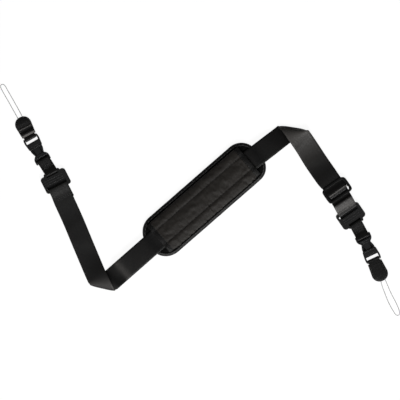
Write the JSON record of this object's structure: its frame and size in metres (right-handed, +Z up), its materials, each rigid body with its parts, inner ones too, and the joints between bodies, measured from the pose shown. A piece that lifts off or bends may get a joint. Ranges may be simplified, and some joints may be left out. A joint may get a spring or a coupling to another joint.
{
  "type": "padded neck strap with two quick-release string loops",
  "caption": "Padded neck strap of wide webbing with a sliding quilted pad, a length adjuster, and at each end a reducer, a side-release buckle, a tab and a thin string loop.",
  "frame": {"origin": "centre of the pad's underside, on the table that the strap lies on", "axes": "+X across the laid-out strap from the left string to the right string, +Y up the picture towards the adjuster's fold, +Z up from the table"},
  "size_m": [0.5998, 0.3474, 0.0125],
  "materials": {
    "webbing": "woven nylon webbing, satin",
    "foam": "open foam, dull",
    "pad_lining": "smooth woven lining, matte",
    "pad_cover": "soft brushed fabric over foam, matte",
    "binding": "grosgrain tape, matte",
    "thread": "polyester thread",
    "string": "thin braided cord, grey",
    "tab": "soft coated fabric, satin",
    "latch_plastic": "moulded acetal",
    "buckle_plastic": "moulded acetal, fine grain"
  },
  "bodies": {
    "strap_webbing": {"main_webbing": "webbing", "left_end_stitching": "thread"},
    "pad": {"pad_backing": "pad_lining", "pad_foam": "foam", "pad_base_panel": "pad_lining", "pad_edge_binding": "binding", "pad_edge_stitching": "thread", "sleeve_lining": "pad_lining", "sleeve_foam": "foam", "sleeve_cover": "pad_cover", "sleeve_hem_left": "binding", "sleeve_hem_right": "binding", "sleeve_quilting": "thread"},
    "adjuster": {"adjuster": "buckle_plastic", "adjuster_webbing_end": "webbing", "adjuster_stitching": "thread"},
    "webbing_loop": {"reducer_webbing_loop": "webbing", "doubled_webbing_top": "webbing", "doubled_webbing_bottom": "webbing"},
    "reducer_left": {"reducer_left": "buckle_plastic"},
    "narrow_webbing_left": {"narrow_webbing_left": "webbing", "bartack_left": "thread"},
    "buckle_plug_left": {"buckle_plug_left": "buckle_plastic"},
    "latch_arm_left_a": {"latch_arm_left_a": "latch_plastic"},
    "latch_arm_left_b": {"latch_arm_left_b": "latch_plastic"},
    "buckle_socket_left": {"buckle_socket_left": "buckle_plastic"},
    "tab_left": {"tab_left": "tab", "tab_filler_left": "foam", "tab_stitching_left": "thread", "string_knot_left": "string", "string_loop_left": "string"},
    "reducer_right": {"reducer_right": "buckle_plastic"},
    "narrow_webbing_right": {"narrow_webbing_right": "webbing", "bartack_right": "thread"},
    "buckle_plug_right": {"buckle_plug_right": "buckle_plastic"},
    "latch_arm_right_a": {"latch_arm_right_a": "latch_plastic"},
    "latch_arm_right_b": {"latch_arm_right_b": "latch_plastic"},
    "buckle_socket_right": {"buckle_socket_right": "buckle_plastic"},
    "tab_right": {"tab_right": "tab", "tab_filler_right": "foam", "tab_stitching_right": "thread", "string_knot_right": "string", "string_loop_right": "string"}
  },
  "joints": [
    {"name": "pad_slide", "type": "slide", "parent": "strap_webbing", "child": "pad", "axis": [0.7536, 0.6574, 0], "range_m": [-0.04, 0.025]},
    {"name": "adjuster_slide", "type": "slide", "parent": "strap_webbing", "child": "adjuster", "axis": [-0.5707, 0.8211, 0], "range_m": [-0.018, 0.046]},
    {"name": "webbing_loop_slide", "type": "slide", "parent": "adjuster", "child": "webbing_loop", "axis": [0.4772, -0.8788, 0], "range_m": [-0.009, 0.023], "deforming": ["doubled_webbing_top", "doubled_webbing_bottom"]},
    {"name": "reducer_hinge_left", "type": "hinge", "parent": "strap_webbing", "child": "reducer_left", "pos_m": [-0.21715, 0.01926, 0.0028], "axis": [0.8902, 0.4555, 0], "range_deg": [-45, 45]},
    {"name": "narrow_webbing_hinge_left", "type": "hinge", "parent": "reducer_left", "child": "narrow_webbing_left", "pos_m": [-0.22808, 0.04062, 0.0028], "axis": [0.8902, 0.4555, 0], "range_deg": [-45, 45]},
    {"name": "plug_hinge_left", "type": "hinge", "parent": "narrow_webbing_left", "child": "buckle_plug_left", "pos_m": [-0.24017, 0.0596, 0.0028], "axis": [0.8678, 0.497, 0], "range_deg": [-45, 45]},
    {"name": "latch_left_a", "type": "hinge", "parent": "buckle_plug_left", "child": "latch_arm_left_a", "pos_m": [-0.25107, 0.06534, 0.0028], "axis": [0, 0, -1], "range_deg": [0, 7], "stiffness_Nm_per_rad": 0.0005},
    {"name": "latch_left_b", "type": "hinge", "parent": "buckle_plug_left", "child": "latch_arm_left_b", "pos_m": [-0.23961, 0.0719, 0.0028], "axis": [0, 0, 1], "range_deg": [0, 7], "stiffness_Nm_per_rad": 0.0005},
    {"name": "socket_slide_left", "type": "slide", "parent": "buckle_plug_left", "child": "buckle_socket_left", "axis": [-0.497, 0.8678, 0], "range_m": [0, 0.012], "deforming": ["latch_arm_left_a", "latch_arm_left_b"]},
    {"name": "tab_hinge_left", "type": "hinge", "parent": "buckle_socket_left", "child": "tab_left", "pos_m": [-0.25896, 0.0924, 0.0028], "axis": [0.8678, 0.497, 0], "range_deg": [-45, 45]},
    {"name": "reducer_hinge_right", "type": "hinge", "parent": "webbing_loop", "child": "reducer_right", "pos_m": [0.21565, -0.01579, 0.0028], "axis": [-0.848, -0.5299, 0], "range_deg": [-45, 45]},
    {"name": "narrow_webbing_hinge_right", "type": "hinge", "parent": "reducer_right", "child": "narrow_webbing_right", "pos_m": [0.22837, -0.03614, 0.0028], "axis": [-0.848, -0.5299, 0], "range_deg": [-45, 45]},
    {"name": "plug_hinge_right", "type": "hinge", "parent": "narrow_webbing_right", "child": "buckle_plug_right", "pos_m": [0.23893, -0.05601, 0.0028], "axis": [-0.9056, -0.4242, 0], "range_deg": [-45, 45]},
    {"name": "latch_right_a", "type": "hinge", "parent": "buckle_plug_right", "child": "latch_arm_right_a", "pos_m": [0.24932, -0.06263, 0.0028], "axis": [0, 0, -1], "range_deg": [0, 7], "stiffness_Nm_per_rad": 0.0005},
    {"name": "latch_right_b", "type": "hinge", "parent": "buckle_plug_right", "child": "latch_arm_right_b", "pos_m": [0.23737, -0.06823, 0.0028], "axis": [0, 0, 1], "range_deg": [0, 7], "stiffness_Nm_per_rad": 0.0005},
    {"name": "socket_slide_right", "type": "slide", "parent": "buckle_plug_right", "child": "buckle_socket_right", "axis": [0.4242, -0.9056, 0], "range_m": [0, 0.012], "deforming": ["latch_arm_right_a", "latch_arm_right_b"]},
    {"name": "tab_hinge_right", "type": "hinge", "parent": "buckle_socket_right", "child": "tab_right", "pos_m": [0.25497, -0.09024, 0.0028], "axis": [-0.9056, -0.4242, 0], "range_deg": [-45, 45]}
  ],
  "couplings": [
    {"joint": "webbing_loop_slide", "follows": "adjuster_slide", "ratio": 0.5}
  ]
}
